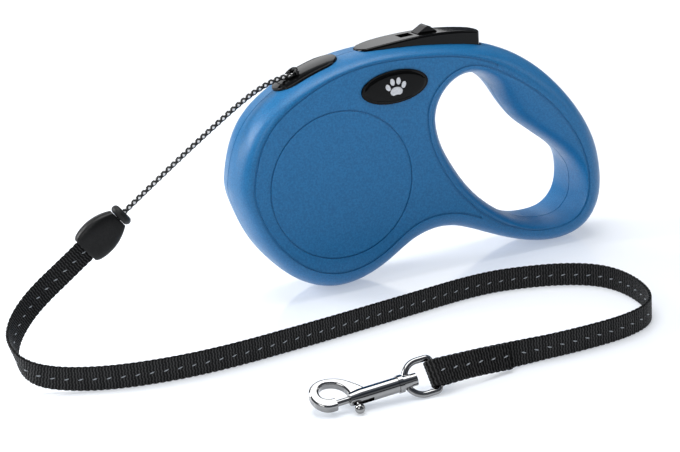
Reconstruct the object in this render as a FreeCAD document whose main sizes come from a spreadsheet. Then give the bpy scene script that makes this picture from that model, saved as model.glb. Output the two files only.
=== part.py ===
"""Retractable dog leash: hollow two-shell housing with a ring handle, sprung cord reel, brake button
with sliding lock, and the leash end with connector, webbing strap, D-ring and bolt snap.

Frame: millimetres, X from the reel to the handle, Y from front to back, Z up.  The housing stands on
z = 0 and is centred on the origin in X and Y.
"""
import FreeCAD, Part
import math
import os

Vector = FreeCAD.Vector
ALONG_Y = Vector(0, 1, 0)
ALONG_Z = Vector(0, 0, 1)

DRIVING_SIZES = {
    "half_thickness": 15.0,
    "wall": 2.6,
    "handle_cavity_depth": 6.0,
    "reel_x": -41.5,
    "reel_z": 47.0,
    "chamber_radius": 38.0,
    "chamber_half_depth": 12.6,
    "disc_groove_radius": 31.0,
    "groove_width": 0.6,
    "groove_depth": 0.4,
    "flange_radius": 36.0,
    "front_flange_radius": 34.5,
    "flange_thickness": 1.6,
    "tooth_count": 24,
    "tooth_depth": 1.8,
    "tooth_gap": 3.4,
    "hub_radius": 17.0,
    "winding_radius": 32.0,
    "spring_case_radius": 30.0,
    "spring_case_length": 10.6,
    "spring_case_wall": 1.5,
    "spring_strip": 0.6,
    "spring_turns": 9,
    "cover_thickness": 0.8,
    "axle_radius": 4.0,
    "arbor_radius": 5.5,
    "running_gap": 0.08,
    "washer_radius": 8.0,
    "washer_thickness": 0.3,
    "screw_shank_radius": 1.4,
    "screw_head_radius": 2.8,
    "screw_head_height": 2.2,
    "screw_length": 15.0,
    "boss_radius": 3.4,
    "button_half_width": 7.4,
    "button_clearance": 0.25,
    "pin_radius": 1.2,
    "pawl_thickness": 3.0,
    "slider_width": 6.0,
    "badge_half_length": 14.8,
    "badge_half_height": 6.8,
    "badge_thickness": 1.5,
    "cord_diameter": 2.5,
    "bumper_radius": 4.7,
    "bumper_wire_radius": 1.7,
    "strap_width": 9.6,
    "strap_thickness": 1.4,
    "ring_wire": 2.3,
    "snap_plate_half_thickness": 1.8,
    "snap_plate_fillet": 0.9,
    "outlet_rim_fillet": 0.5,
    "button_rim_fillet": 1.0,
    "snap_shank_radius": 2.8,
    "rivet_radius": 1.2,
    "rivet_head_radius": 2.3,
    "stud_ball_radius": 1.8,
    "stud_neck_radius": 0.7,
    "snap_bolt_radius": 1.15,
}

# Side outline of the housing at its middle plane: x, z and the distance in to the edge of the flat face.
RIM = [
    (-85.4, 52.0, 6.2), (-82.5, 64.0, 6.0), (-76.8, 75.0, 5.5), (-68.0, 83.5, 5.0), (-57.0, 89.7, 4.4),
    (-44.0, 94.5, 3.6), (-29.5, 97.6, 3.4), (-14.0, 98.6, 3.6), (2.0, 97.7, 3.8), (17.0, 95.8, 4.2),
    (31.0, 92.9, 6.0), (45.0, 87.2, 8.6), (57.5, 78.6, 9.6), (68.0, 68.0, 9.2), (76.6, 56.0, 8.8),
    (82.6, 43.5, 9.6), (85.4, 29.5, 10.4), (84.0, 15.5, 10.2), (76.5, 4.6, 9.8), (62.0, 0.03, 8.2),
    (48.9, 1.6, 6.6), (36.1, 5.8, 5.8), (22.0, 12.0, 7.0), (8.2, 16.3, 8.8), (-6.5, 14.2, 10.0),
    (-19.2, 7.3, 9.0), (-32.0, 1.6, 9.2), (-45.0, 0.2, 9.3), (-59.5, 5.6, 8.0), (-70.5, 15.7, 6.6),
    (-78.9, 28.0, 6.0), (-83.6, 40.5, 5.8),
]

# Finger opening: x, z at the middle plane and x, z where its rounded edge meets the flat face.
GRIP_HOLE = [
    (6.0, 64.0, -1.5, 66.0), (7.5, 71.5, 0.0, 74.5), (13.0, 78.8, 5.6, 82.0), (21.5, 82.0, 17.5, 87.3),
    (29.0, 79.5, 28.5, 85.0), (34.5, 74.2, 38.0, 79.6), (38.0, 68.0, 45.6, 74.6), (41.9, 61.8, 51.0, 70.2),
    (46.2, 56.7, 55.8, 65.6), (51.7, 52.0, 60.2, 60.6), (57.5, 47.3, 64.6, 54.8), (63.0, 42.8, 68.3, 48.8),
    (68.0, 37.6, 71.6, 41.6), (71.8, 31.5, 73.8, 33.6), (73.0, 24.0, 74.2, 25.0), (71.2, 16.2, 72.0, 16.8),
    (65.5, 11.2, 66.0, 11.0), (57.5, 10.0, 57.3, 9.2), (49.0, 11.4, 48.0, 9.8), (41.7, 14.2, 39.6, 12.2),
    (35.5, 17.9, 32.6, 15.3), (30.4, 21.9, 26.6, 19.0), (25.1, 26.8, 20.6, 23.6), (20.4, 32.2, 15.0, 29.2),
    (16.2, 38.2, 9.8, 35.6), (12.7, 44.2, 5.7, 42.6), (9.4, 50.6, 2.0, 50.2), (7.0, 57.4, -0.6, 58.2),
]

SECTION_LEVELS = [0.0, 0.35, 0.6, 0.8, 0.93, 1.0]
SCREW_SPOTS = [(-2.0, 24.0), (79.0, 27.0), (61.0, 65.5), (-1.0, 84.0)]

doc = FreeCAD.newDocument("retractable_leash")
sheet = doc.addObject("Spreadsheet::Sheet", "sizes")
for row, (alias, value) in enumerate(DRIVING_SIZES.items(), start=1):
    sheet.set("A%d" % row, alias)
    sheet.set("B%d" % row, str(value))
    sheet.setAlias("B%d" % row, alias)
doc.recompute()


def size(alias):
    return float(getattr(sheet, alias))


# ---------------------------------------------------------------- general helpers

def add_shape(label, shape, placement=None):
    """A sub-part made with Part functions from the sheet's sizes."""
    feature = doc.addObject("Part::Feature", label)
    feature.Label = label
    feature.Shape = shape
    if placement is not None:
        feature.Placement = placement
    return feature


def primitive(kind, name, placement=None, **expressions):
    """A Part primitive whose sizes are bound to the sheet."""
    item = doc.addObject("Part::" + kind, name)
    for prop, expression in expressions.items():
        item.setExpression(prop, expression)
    if placement is not None:
        item.Placement = placement
    return item


def combine(kind, label, base, tool):
    item = doc.addObject("Part::" + kind, label)
    item.Label = label
    item.Base = base
    item.Tool = tool
    return item


def fuse_all(label, members):
    item = doc.addObject("Part::MultiFuse", label)
    item.Label = label
    item.Shapes = members
    return item


def new_body(label, placement=None):
    body = doc.addObject("PartDesign::Body", label)
    body.Label = label
    if placement is not None:
        body.Placement = placement
    return body


def sketch_on(body, plane_role, name):
    sketch = body.newObject("Sketcher::SketchObject", name)
    plane = [f for f in body.Origin.OriginFeatures if f.Role == plane_role][0]
    sketch.AttachmentSupport = [(plane, "")]
    sketch.MapMode = "FlatFace"
    return sketch


def circle_sketch(body, name, radius_expression, plane_role="XY_Plane"):
    """A centred circle whose radius follows the sheet."""
    import Sketcher
    sketch = sketch_on(body, plane_role, name)
    sketch.addGeometry(Part.Circle(Vector(0, 0, 0), ALONG_Z, 1.0), False)
    sketch.addConstraint(Sketcher.Constraint("Coincident", 0, 3, -1, 1))
    sketch.addConstraint(Sketcher.Constraint("Radius", 0, 1.0))
    sketch.setExpression("Constraints[1]", radius_expression)
    return sketch


def pad(body, sketch, name, length_expression):
    feature = body.newObject("PartDesign::Pad", name)
    feature.Profile = sketch
    feature.setExpression("Length", length_expression)
    sketch.Visibility = False
    body.Tip = feature
    return feature


def pocket_through(body, sketch, name):
    feature = body.newObject("PartDesign::Pocket", name)
    feature.Profile = sketch
    feature.Type = 1
    feature.Midplane = True
    sketch.Visibility = False
    body.Tip = feature
    return feature


def facing_y(x, y, z):
    """Placement that points a local Z axis along +Y."""
    return FreeCAD.Placement(Vector(x, y, z), FreeCAD.Rotation(Vector(1, 0, 0), -90))


def cylinder_y(radius, y_start, y_end, x, z):
    return Part.makeCylinder(radius, y_end - y_start, Vector(x, y_start, z), ALONG_Y)


def slab(x_low, x_high, y_low, y_high, z_low, z_high):
    return Part.makeBox(x_high - x_low, y_high - y_low, z_high - z_low, Vector(x_low, y_low, z_low))


# ---------------------------------------------------------------- outlines of the housing

def outward_normals(points):
    """Unit normals of a clockwise closed outline, pointing away from its inside."""
    normals = []
    count = len(points)
    for i in range(count):
        before = points[i - 1]
        after = points[(i + 1) % count]
        dx = after[0] - before[0]
        dz = after[1] - before[1]
        length = math.hypot(dx, dz)
        normals.append((-dz / length, dx / length))
    return normals


def moved_outline(points, distances):
    """The outline with each point moved outwards by its own distance."""
    normals = outward_normals(points)
    return [(p[0] + n[0] * d, p[1] + n[1] * d) for p, n, d in zip(points, normals, distances)]


def smooth_loop(points, y):
    curve = Part.BSplineCurve()
    curve.interpolate(Points=[Vector(px, y, pz) for px, pz in points], PeriodicFlag=True)
    return Part.Wire(curve.toShape())


def prism(points, y_low, y_high):
    face = Part.Face(smooth_loop(points, y_low))
    return face.extrude(Vector(0, y_high - y_low, 0))


def round_drop(level):
    """Share of the edge rounding used up at a share of the half thickness."""
    return 1.0 - math.sqrt(1.0 - level * level)


def all_levels():
    upper = SECTION_LEVELS
    return [-level for level in reversed(upper[1:])] + upper


RIM_POINTS = [(p[0], p[1]) for p in RIM]
RIM_INSETS = [p[2] for p in RIM]
HOLE_MIDDLE = [(p[0], p[1]) for p in GRIP_HOLE]
HOLE_FACE = [(p[2], p[3]) for p in GRIP_HOLE]


def rim_at(level, growth=0.0):
    drop = round_drop(abs(level))
    return moved_outline(RIM_POINTS, [growth - inset * drop for inset in RIM_INSETS])


def hole_at(level):
    drop = round_drop(abs(level))
    return [(m[0] + (f[0] - m[0]) * drop, m[1] + (f[1] - m[1]) * drop)
            for m, f in zip(HOLE_MIDDLE, HOLE_FACE)]


def lofted(outline_at_level):
    half = size("half_thickness")
    wires = [smooth_loop(outline_at_level(level), level * half) for level in all_levels()]
    return Part.makeLoft(wires, True, False)


def outer_solid(growth=0.0):
    return lofted(lambda level: rim_at(level, growth))


def band(points, inner, outer, y_low, y_high):
    """A thin closed strip that follows an outline."""
    count = len(points)
    wide = prism(moved_outline(points, [outer] * count), y_low, y_high)
    narrow = prism(moved_outline(points, [inner] * count), y_low, y_high)
    return wide.cut(narrow)


# ---------------------------------------------------------------- cord outlet and brake button shapes

OUTLET_CENTRE = Vector(-48.6, 0, 92.8)
OUTLET_TILT = 20.0
OUTLET_UP = Vector(-math.sin(math.radians(OUTLET_TILT)), 0, math.cos(math.radians(OUTLET_TILT)))
OUTLET_LENGTH = 29.4
OUTLET_WIDTH = 16.4
EYELET_BASE = Vector(-53.2, 0, 91.2)
EYELET_AXIS = Vector(-0.64, 0, 0.77)
CORD_EXIT = Vector(-51.0, 0, 91.4)
CORD_EXIT_DIRECTION = Vector(-0.966, 0, 0.26)
BUTTON_FRONT = -25.6
BUTTON_REAR = 30.3
PIVOT = Vector(-22.5, 0, 94.0)
SLIDER_PLACE = Vector(-6.2, 0, 99.7)


def oval_prism(length, width, height, shift):
    """A slot-shaped prism standing on the outlet's slope, from shift upwards."""
    straight = length - width
    radius = width / 2.0
    left = Vector(-straight / 2.0, 0, 0)
    right = Vector(straight / 2.0, 0, 0)
    up = Vector(0, radius, 0)
    edges = [
        Part.makeLine(left + up, right + up),
        Part.Arc(right + up, right + Vector(radius, 0, 0), right - up).toShape(),
        Part.makeLine(right - up, left - up),
        Part.Arc(left - up, left - Vector(radius, 0, 0), left + up).toShape(),
    ]
    solid = Part.Face(Part.Wire(edges)).extrude(Vector(0, 0, height))
    solid.translate(Vector(0, 0, shift))
    solid.rotate(Vector(0, 0, 0), ALONG_Y, -OUTLET_TILT)
    solid.translate(OUTLET_CENTRE)
    return solid


def cord_tunnel(radius):
    start = CORD_EXIT - CORD_EXIT_DIRECTION * 9.0
    return Part.makeCylinder(radius, 24.0, start, CORD_EXIT_DIRECTION)


def button_plan(growth, rear_growth):
    """Plan outline of the brake button: blunt with round corners at the front, narrower at the rear."""
    wide = size("button_half_width") + growth
    narrow = wide - 1.9
    front = BUTTON_FRONT - growth
    rear = BUTTON_REAR + rear_growth
    side = [(front + 2.6, wide - 1.6), (front + 8.0, wide - 0.3), (-4.0, wide), (10.0, wide - 0.5),
            (rear - 2.2, narrow)]
    near = [Vector(x, -y, 0) for x, y in side]
    far = [Vector(x, y, 0) for x, y in reversed(side)]
    near_side = Part.BSplineCurve()
    near_side.interpolate(near)
    far_side = Part.BSplineCurve()
    far_side.interpolate(far)
    rear_arc = Part.Arc(near[-1], Vector(rear, 0, 0), far[0])
    front_arc = Part.Arc(far[-1], Vector(front, 0, 0), near[0])
    return Part.Wire([near_side.toShape(), rear_arc.toShape(), far_side.toShape(), front_arc.toShape()])


def button_prism(growth, rear_growth, z_low, z_high):
    face = Part.Face(button_plan(growth, rear_growth))
    face.translate(Vector(0, 0, z_low))
    return face.extrude(Vector(0, 0, z_high - z_low))


BUTTON_TOP = [(-27.2, 98.1), (-21.2, 99.3), (-13.2, 100.3), (-3.2, 101.0), (7.8, 101.2), (18.8, 100.5),
              (26.8, 99.4), (32.3, 98.4)]


def profile_solid(top, bottom, half_width):
    """A side profile between a smooth top line and straight bottom points, spread over the width."""
    crown = Part.BSplineCurve()
    crown.interpolate([Vector(x, -half_width, z) for x, z in top])
    low = [Vector(x, -half_width, z) for x, z in bottom]
    corners = [crown.EndPoint] + low + [crown.StartPoint]
    edges = [crown.toShape()] + [Part.makeLine(a, b) for a, b in zip(corners, corners[1:])]
    return Part.Face(Part.Wire(edges)).extrude(Vector(0, 2 * half_width, 0))


# ---------------------------------------------------------------- housing shells

def housing_block():
    """The whole housing before it is split: outside shape, opening, grooves and hollow."""
    half = size("half_thickness")
    groove = size("groove_width")
    depth = size("groove_depth")
    wall = size("wall")
    hollow = size("handle_cavity_depth")
    reel_x = size("reel_x")
    reel_z = size("reel_z")
    radius = size("disc_groove_radius")
    block = outer_solid().cut(lofted(hole_at))
    face_edge = rim_at(1.0)
    cuts = []
    for side in (-1, 1):
        low, high = sorted((side * (half + 0.5), side * (half - depth)))
        crease = band(face_edge, -groove, 0.3, low, high)
        cuts.append(crease.common(slab(-100, 32, -20, 20, 50, 110).fuse(slab(-100, 21, -20, 20, -5, 50))))
        cuts.append(band(HOLE_FACE, -0.3, groove, low, high))
        ring = cylinder_y(radius + groove / 2, low, high, reel_x, reel_z)
        cuts.append(ring.cut(cylinder_y(radius - groove / 2, low, high, reel_x, reel_z)))
    cuts.append(band(RIM_POINTS, -0.35, 0.5, -0.2, 0.2))
    cuts.append(band(HOLE_MIDDLE, -0.5, 0.35, -0.2, 0.2))
    inner = prism(moved_outline(RIM_POINTS, [-wall] * len(RIM_POINTS)), -hollow, hollow)
    keep = prism(moved_outline(HOLE_MIDDLE, [wall] * len(HOLE_MIDDLE)), -hollow, hollow)
    cuts.append(inner.cut(keep))
    deep = size("chamber_half_depth")
    cuts.append(cylinder_y(size("chamber_radius"), -deep, deep, reel_x, reel_z))
    return block.cut(cuts)


def screw_bosses():
    reach = size("handle_cavity_depth") + 1.0
    bosses = [cylinder_y(size("boss_radius"), -reach, reach, x, z) for x, z in SCREW_SPOTS]
    return bosses


def screw_holes():
    holes = []
    bore = size("screw_shank_radius") + 0.05
    for x, z in SCREW_SPOTS:
        holes.append(cylinder_y(bore, 9.0 - size("screw_length") - 0.3, 9.0, x, z))
        holes.append(cylinder_y(size("screw_head_radius") + 0.1, 9.0, 16.0, x, z))
    return holes


def badge_tool(growth):
    """Elliptical prism for the badge, its depth measured from the front face."""
    ellipse = Part.Ellipse(Vector(0, 0, 0), size("badge_half_length") + growth,
                           size("badge_half_height") + growth)
    solid = Part.Face(Part.Wire(ellipse.toShape())).extrude(Vector(0, 0, size("badge_thickness")))
    solid.Placement = FreeCAD.Placement(Vector(-15.6, -14.2, 84.0), FreeCAD.Rotation(Vector(1, 0, 0), 90))
    solid.rotate(Vector(-15.6, 0, 84.0), ALONG_Y, -3.0)
    return solid


def shells():
    block = housing_block()
    pocket = oval_prism(OUTLET_LENGTH + 0.2, OUTLET_WIDTH + 0.2, 8.0, -4.0).cut(outer_solid(-2.0))
    passage = oval_prism(OUTLET_LENGTH - 5.0, OUTLET_WIDTH - 5.0, 8.0, -7.0)
    clearance = size("button_clearance")
    slot = button_prism(clearance, 0.9, 86.2, 110.0)
    pin = cylinder_y(size("pin_radius"), -9.5, 9.5, PIVOT.x, PIVOT.z)
    block = block.cut([pocket, passage, slot, pin])
    block = block.fuse(screw_bosses())
    block = block.cut(screw_holes() + [badge_tool(0.05)])
    axle_seat = cylinder_y(size("axle_radius"), -13.6, 13.6, size("reel_x"), size("reel_z"))
    block = block.cut(axle_seat)
    far = 120.0
    front = block.common(slab(-far, far, -30, 0, -10, 130))
    back = block.common(slab(-far, far, 0, 30, -10, 130))
    return front, back


# ---------------------------------------------------------------- outlet, reel and brake

def outlet_plate():
    """Oval plate that follows the rim, with the eyelet hole, a cord passage and a split line."""
    plate = oval_prism(OUTLET_LENGTH, OUTLET_WIDTH, 8.0, -4.0).common(outer_solid(0.9))
    plate = plate.cut(outer_solid(-2.0)).Solids[0]
    rim = [edge for edge in plate.Edges if (edge.CenterOfMass - OUTLET_CENTRE).dot(OUTLET_UP) > -0.6]
    plate = plate.makeFillet(size("outlet_rim_fillet"), rim)
    hole = Part.makeCylinder(3.15, 12.0, EYELET_BASE - EYELET_AXIS * 6.0, EYELET_AXIS)
    rim_seat = Part.makeCylinder(3.75, 6.0, EYELET_BASE + EYELET_AXIS * 1.0, EYELET_AXIS)
    split = slab(-0.2, 0.2, -12, 12, 0, 4)
    split.rotate(Vector(0, 0, 0), ALONG_Y, -38.0)
    split.translate(Vector(-58.6, 0, 88.3))
    return plate.cut([hole, rim_seat, cord_tunnel(2.0), split])


def eyelet():
    """Short flared ring that guides the cord."""
    corners = [(2.4, -2.4), (3.1, -2.4), (3.1, 1.1), (3.65, 1.4), (3.65, 2.1), (3.3, 2.5), (2.9, 2.5),
               (2.4, 1.7)]
    points = [Vector(radius, 0, height) for radius, height in corners]
    face = Part.Face(Part.makePolygon(points + points[:1]))
    ring = face.revolve(Vector(0, 0, 0), ALONG_Z, 360)
    ring.Placement = FreeCAD.Placement(EYELET_BASE, FreeCAD.Rotation(ALONG_Z, EYELET_AXIS))
    return ring.cut(cord_tunnel(1.65))


def spool():
    """Hub and two flanges in one piece with the cup for the mainspring; the middle flange is toothed."""
    x = size("reel_x")
    z = size("reel_z")
    edge = size("flange_thickness") / 2.0
    case_end = edge + size("spring_case_length")
    case = size("spring_case_radius")
    hub = size("hub_radius")
    middle = cylinder_y(size("flange_radius"), -edge, edge, x, z)
    notches = []
    for tooth in range(int(size("tooth_count"))):
        notch = slab(x + size("flange_radius") - size("tooth_depth"), x + 40.0, -3, 3,
                     z - size("tooth_gap") / 2, z + size("tooth_gap") / 2)
        notch.rotate(Vector(x, 0, z), ALONG_Y, -(45.9 + tooth * 360.0 / size("tooth_count")))
        notches.append(notch)
    body = middle.cut(notches)
    body = body.fuse([
        cylinder_y(size("front_flange_radius"), -12.0, -12.0 + 2 * edge, x, z),
        cylinder_y(hub, -12.0, 0.0, x, z),
        cylinder_y(case, 0.0, case_end, x, z),
    ])
    return body.cut([
        cylinder_y(hub - 2.0, -10.4, -edge, x, z).cut(cylinder_y(7.0, -12.0, 0.0, x, z)),
        cylinder_y(case - size("spring_case_wall"), edge, case_end, x, z),
        cylinder_y(size("axle_radius") + size("running_gap"), -13.0, 2.0, x, z),
    ])


def mainspring():
    """Flat steel strip wound in a spiral from the arbor to the wall of its cup."""
    inner = size("arbor_radius") + 0.2
    outer = size("spring_case_radius") - size("spring_case_wall") - 0.3
    strip = size("spring_strip")
    turns = size("spring_turns")
    steps = int(turns * 24)

    def spiral(offset):
        points = []
        for step in range(steps + 1):
            radius = inner + (outer - strip - inner) * step / steps + offset
            angle = 2 * math.pi * turns * step / steps
            points.append(Vector(radius * math.cos(angle), 0, radius * math.sin(angle)))
        return points

    outline = spiral(0.0) + list(reversed(spiral(strip)))
    solid = Part.Face(Part.makePolygon(outline + outline[:1])).extrude(Vector(0, 9.2, 0))
    solid.translate(Vector(size("reel_x"), 1.4, size("reel_z")))
    return solid


def brake_button():
    """Domed button, narrower to the rear, with the pivot bore and the slider's recess."""
    under = [(32.3, 91.2), (0.0, 92.6), (-16.0, 92.6), (-18.5, 91.2), (-27.2, 91.2)]
    blank = profile_solid(BUTTON_TOP, under, 9.0)
    button = blank.common(button_prism(0.0, 0.0, 80.0, 110.0))
    rim = [edge for edge in button.Edges if edge.CenterOfMass.z > 97.0 and edge.Length > 3.0]
    button = button.makeFillet(size("button_rim_fillet"), rim)
    rail = size("slider_width") / 2 + 0.1
    recess = Part.makeBox(34.6, 2 * rail, 12.0, Vector(0, -rail, 0))
    recess.rotate(Vector(0, 0, 0), ALONG_Y, 2.8)
    recess.translate(SLIDER_PLACE)
    ribs = []
    for rib in range(4):
        bar = Part.makeBox(0.6, 2 * rail, 0.6, Vector(0.8 + rib * 1.3, -rail, -0.1))
        bar.rotate(Vector(0, 0, 0), ALONG_Y, 2.8)
        bar.translate(SLIDER_PLACE)
        ribs.append(bar)
    bore = cylinder_y(size("pin_radius") + 0.05, -12, 12, PIVOT.x, PIVOT.z)
    return button.cut([recess, bore]).fuse(ribs)


def lock_slider():
    """Flat slider plate with a wedge-shaped thumb nub."""
    half = size("slider_width") / 2
    crown = [(x, z - 0.05) for x, z in BUTTON_TOP]
    plate = profile_solid(crown, [(32.3, 90.0), (-27.2, 90.0)], half)
    window = Part.makeBox(28.4, 2 * half, 12.0, Vector(6.0, -half, 0.1))
    relief = Part.makeBox(9.5, 2 * half, 0.8, Vector(5.8, -half, 0.0))
    for tool in (window, relief):
        tool.rotate(Vector(0, 0, 0), ALONG_Y, 2.8)
        tool.translate(SLIDER_PLACE)
    plate = plate.common(window).cut(relief)
    outline = [(1.2, 100.4), (1.4, 101.4), (5.4, 103.8), (6.4, 104.1), (7.3, 103.7), (10.4, 101.2),
               (10.4, 100.4)]
    points = [Vector(x, -half - 0.2, z) for x, z in outline]
    face = Part.Face(Part.makePolygon(points + points[:1]))
    nub = face.extrude(Vector(0, 2 * half + 0.4, 0))
    lifted = nub.cut(slab(-9, 12, -9, 9, 90, 101.35))
    return plate.fuse([lifted, nub.common(slab(-9, 12, -half, half, 90, 102))])


def brake_pawl():
    """Arm fixed under the button that drops into a notch of the toothed flange."""
    half = size("pawl_thickness") / 2
    outline = [(-16.33, 73.59), (-12.9, 77.9), (-9.2, 86.0), (-9.2, 92.6), (-4.5, 92.6), (-5.4, 83.5),
               (-9.6, 75.4), (-14.91, 72.17)]
    points = [Vector(x, -half, z) for x, z in outline]
    return Part.Face(Part.makePolygon(points + points[:1])).extrude(Vector(0, 2 * half, 0))


def coil(radius, wire, pitch, height):
    """Open coil along local Z."""
    helix = Part.makeHelix(pitch, height, radius)
    ring = Part.Wire(Part.makeCircle(wire, Vector(radius, 0, 0), ALONG_Y))
    return Part.Wire(helix).makePipeShell([ring], True, True)


def screws():
    """Identical pan-head screws, one per boss."""
    solids = []
    reach = 9.0 - size("screw_length")
    head_end = 9.0 + size("screw_head_height")
    for x, z in SCREW_SPOTS:
        shank = cylinder_y(size("screw_shank_radius"), reach, 9.0, x, z)
        head = cylinder_y(size("screw_head_radius"), 9.0, head_end, x, z)
        cross = slab(x - 1.6, x + 1.6, head_end - 1.0, head_end, z - 0.35, z + 0.35)
        upright = slab(x - 0.35, x + 0.35, head_end - 1.0, head_end, z - 1.6, z + 1.6)
        solids.append(shank.fuse(head).cut([cross, upright]).removeSplitter())
    return Part.makeCompound(solids)


# ---------------------------------------------------------------- routes of cord and strap

def rounded_route(corners):
    """Straight runs joined by tangent arcs; returns the wire and the arc radii."""
    edges = []
    radii = []
    start = corners[0]
    for before, corner, after in zip(corners, corners[1:], corners[2:]):
        run_in = corner - before
        run_out = after - corner
        turn = run_in.getAngle(run_out)
        cut_back = 0.45 * min(run_in.Length, run_out.Length)
        radii.append(cut_back / math.tan(turn / 2))
        arc_start = corner - run_in.normalize() * cut_back
        arc_end = corner + run_out.normalize() * cut_back
        inward = (arc_start + arc_end) * 0.5 - corner
        to_centre = math.hypot(radii[-1], cut_back)
        middle = corner + inward.normalize() * (to_centre - radii[-1])
        edges.append(Part.LineSegment(start, arc_start).toShape())
        edges.append(Part.Arc(arc_start, middle, arc_end).toShape())
        start = arc_end
    edges.append(Part.LineSegment(start, corners[-1]).toShape())
    return Part.Wire(edges), radii


def round_tube(corners, radius, label):
    wire, radii = rounded_route(corners)
    direction = corners[1] - corners[0]
    ring = Part.Wire(Part.makeCircle(radius, corners[0], direction))
    tube = wire.makePipeShell([ring], True, True)
    expected = math.pi * radius * radius * wire.Length
    print(label, "radii", [round(r, 1) for r in radii], "volume ratio", round(tube.Volume / expected, 3))
    return tube


def blended(first, second, share):
    direction = first * (1.0 - share) + second * share
    return direction.normalize()


def ribbon_stations(corners, width_at):
    """Points along a route with the direction of travel and of the strap's width at each."""
    wire, radii = rounded_route(corners)
    points = wire.discretize(Distance=3.0)
    stations = []
    for i, point in enumerate(points):
        ahead = points[min(i + 1, len(points) - 1)] - points[max(i - 1, 0)]
        ahead.normalize()
        across = width_at(i / (len(points) - 1))
        across = (across - ahead * across.dot(ahead)).normalize()
        stations.append((point, ahead, across))
    print("strap radii", [round(r, 1) for r in radii], "length", round(wire.Length, 1))
    return stations


def ribbon(stations, width, thickness):
    """A flat strap through its stations."""
    sections = []
    for point, ahead, across in stations:
        a = across * (width / 2)
        t = across.cross(ahead) * (thickness / 2)
        ring = [point + a + t, point - a + t, point - a - t, point + a - t]
        sections.append(Part.makePolygon(ring + ring[:1]))
    return Part.makeLoft(sections, True, True)


def frame_from(origin, along, across):
    """Placement whose local X runs along, and whose local Y lies nearest to across."""
    x_axis = Vector(along).normalize()
    z_axis = x_axis.cross(across).normalize()
    y_axis = z_axis.cross(x_axis)
    matrix = FreeCAD.Matrix(x_axis.x, y_axis.x, z_axis.x, origin.x, x_axis.y, y_axis.y, z_axis.y, origin.y,
                            x_axis.z, y_axis.z, z_axis.z, origin.z, 0, 0, 0, 1)
    return FreeCAD.Placement(matrix)


CONNECTOR_START = Vector(-131.7, 0, 46.6)
CONNECTOR_AXIS = Vector(-14.3, 0, -10.3).normalize()
CONNECTOR_WIDTH_AXIS = Vector(-10.3, 0, 14.3).normalize()
CONNECTOR_FRAME = frame_from(CONNECTOR_START, CONNECTOR_AXIS, CONNECTOR_WIDTH_AXIS)

CORD_CORNERS = [CORD_EXIT, CORD_EXIT + CORD_EXIT_DIRECTION * 10.0, Vector(-94.0, 0, 73.6), CONNECTOR_START]
LEAD_CORNERS = [Vector(-24.8, -5.5, 75.8), CORD_EXIT - CORD_EXIT_DIRECTION * 6.0, CORD_EXIT]

SNAP_ORIGIN = Vector(-52.2, -117.4, 6.4)
SNAP_AXIS = Vector(-38.0, 1.1, -2.8).normalize()
RING_LEAN = Vector(0, 0.64, 0.77)
SNAP_LEAN = Vector(0, 0.89, 0.454)
RING_FRAME = frame_from(SNAP_ORIGIN, SNAP_AXIS, RING_LEAN)
SNAP_FRAME = frame_from(SNAP_ORIGIN, SNAP_AXIS, SNAP_LEAN)

STRAP_FLOOR = [(-148.0, -57.5), (-118.0, -61.5), (-80.0, -58.0), (-36.0, -52.2), (2.0, -46.8), (22.0, -50.6),
               (40.0, -58.0), (50.6, -70.0), (51.6, -90.0), (45.0, -107.5), (30.0, -115.0), (6.0, -116.4),
               (-22.0, -114.8)]


def strap_corners():
    height = size("strap_width") / 2 + 0.1
    rising = [
        CONNECTOR_START + CONNECTOR_AXIS * 10.5, CONNECTOR_START + CONNECTOR_AXIS * 27.0,
        Vector(-170.5, -7.5, 22.5), Vector(-180.5, -19.0, 17.0), Vector(-184.5, -32.0, 13.5),
        Vector(-180.5, -42.5, 8.0), Vector(-168.0, -48.5, height),
    ]
    floor_run = [Vector(x, y, height) for x, y in STRAP_FLOOR]
    return rising + floor_run + [ring_point(-9.21, 0.75), ring_point(-0.31, 2.08)]


def ring_point(x, z):
    return RING_FRAME.multVec(Vector(x, 0, z))


def strap_width_direction(share):
    if share < 0.22:
        return blended(CONNECTOR_WIDTH_AXIS, ALONG_Z, max(0.0, share - 0.04) / 0.18)
    if share > 0.9:
        return blended(ALONG_Z, RING_LEAN, (share - 0.9) / 0.1)
    return ALONG_Z


def fold_stations(strap):
    """The strap's end goes round the ring's bar and back along the front of the strap."""
    stations = []
    bend_radius = 2.1
    across = RING_FRAME.Rotation.multVec(Vector(0, 1, 0))
    for step in range(13):
        angle = math.radians(98.5 - step * 197.0 / 12)
        point = ring_point(bend_radius * math.cos(angle), bend_radius * math.sin(angle))
        ahead = RING_FRAME.Rotation.multVec(Vector(math.sin(angle), 0, -math.cos(angle)))
        stations.append((point, ahead, across))
    lift = size("strap_thickness") + 0.1
    for point, ahead, side in reversed(strap[-12:-4]):
        stations.append((point + side.cross(ahead) * lift, ahead * -1.0, side))
    return stations


# ---------------------------------------------------------------- connector, ring and snap

def rounded_section(position, width, thickness):
    """A rounded rectangle across the local X axis."""
    points = []
    for step in range(16):
        angle = 2 * math.pi * (step + 0.5) / 16
        c = math.cos(angle)
        d = math.sin(angle)
        points.append(Vector(position, math.copysign(abs(c) ** 0.6, c) * width / 2,
                             math.copysign(abs(d) ** 0.6, d) * thickness / 2))
    curve = Part.BSplineCurve()
    curve.interpolate(Points=points, PeriodicFlag=True)
    return Part.Wire(curve.toShape())


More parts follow.
